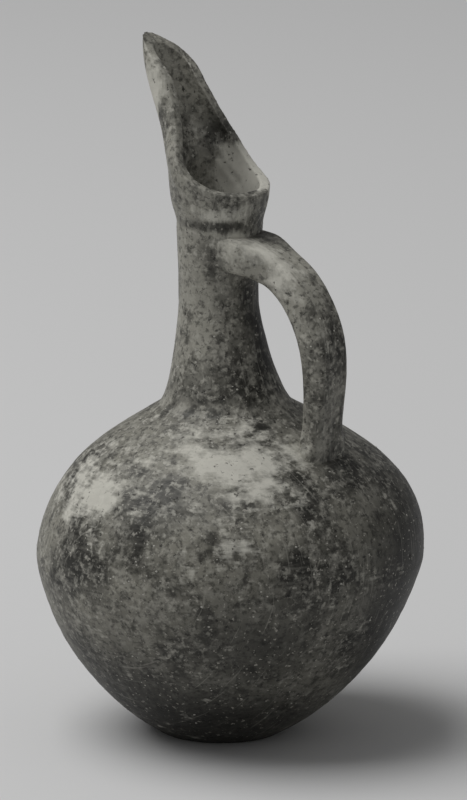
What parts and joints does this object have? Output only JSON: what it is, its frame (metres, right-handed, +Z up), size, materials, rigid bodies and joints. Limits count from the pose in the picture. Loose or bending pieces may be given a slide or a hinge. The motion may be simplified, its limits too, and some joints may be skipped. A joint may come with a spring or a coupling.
{
  "type": "juglet",
  "caption": "Hand-built clay juglet: squat rounded body on a small flat base, tall narrow neck, strap handle from neck to shoulder, and a pinched mouth cut away to an upturned beak.",
  "frame": {"origin": "the middle of the flat base that the juglet stands on", "axes": "+Z runs up from the base, +X points to the handle, -X to the beak, and Y runs across the pot"},
  "size_m": [0.1167, 0.1166, 0.2108],
  "materials": {
    "base_disc": "burnished, worn matt where it stands",
    "lower_wall": "burnished, smoke-dark",
    "shoulder_wall": "burnished under a thin pale crust of lime",
    "neck_tube": "burnished lengthwise",
    "spouted_mouth": "pinched and smoothed with wet fingers",
    "strap_handle": "burnished lengthwise"
  },
  "bodies": {
    "root": {"base_disc": "base_disc", "lower_wall": "lower_wall", "shoulder_wall": "shoulder_wall", "neck_tube": "neck_tube", "spouted_mouth": "spouted_mouth", "strap_handle": "strap_handle"}
  },
  "joints": []
}
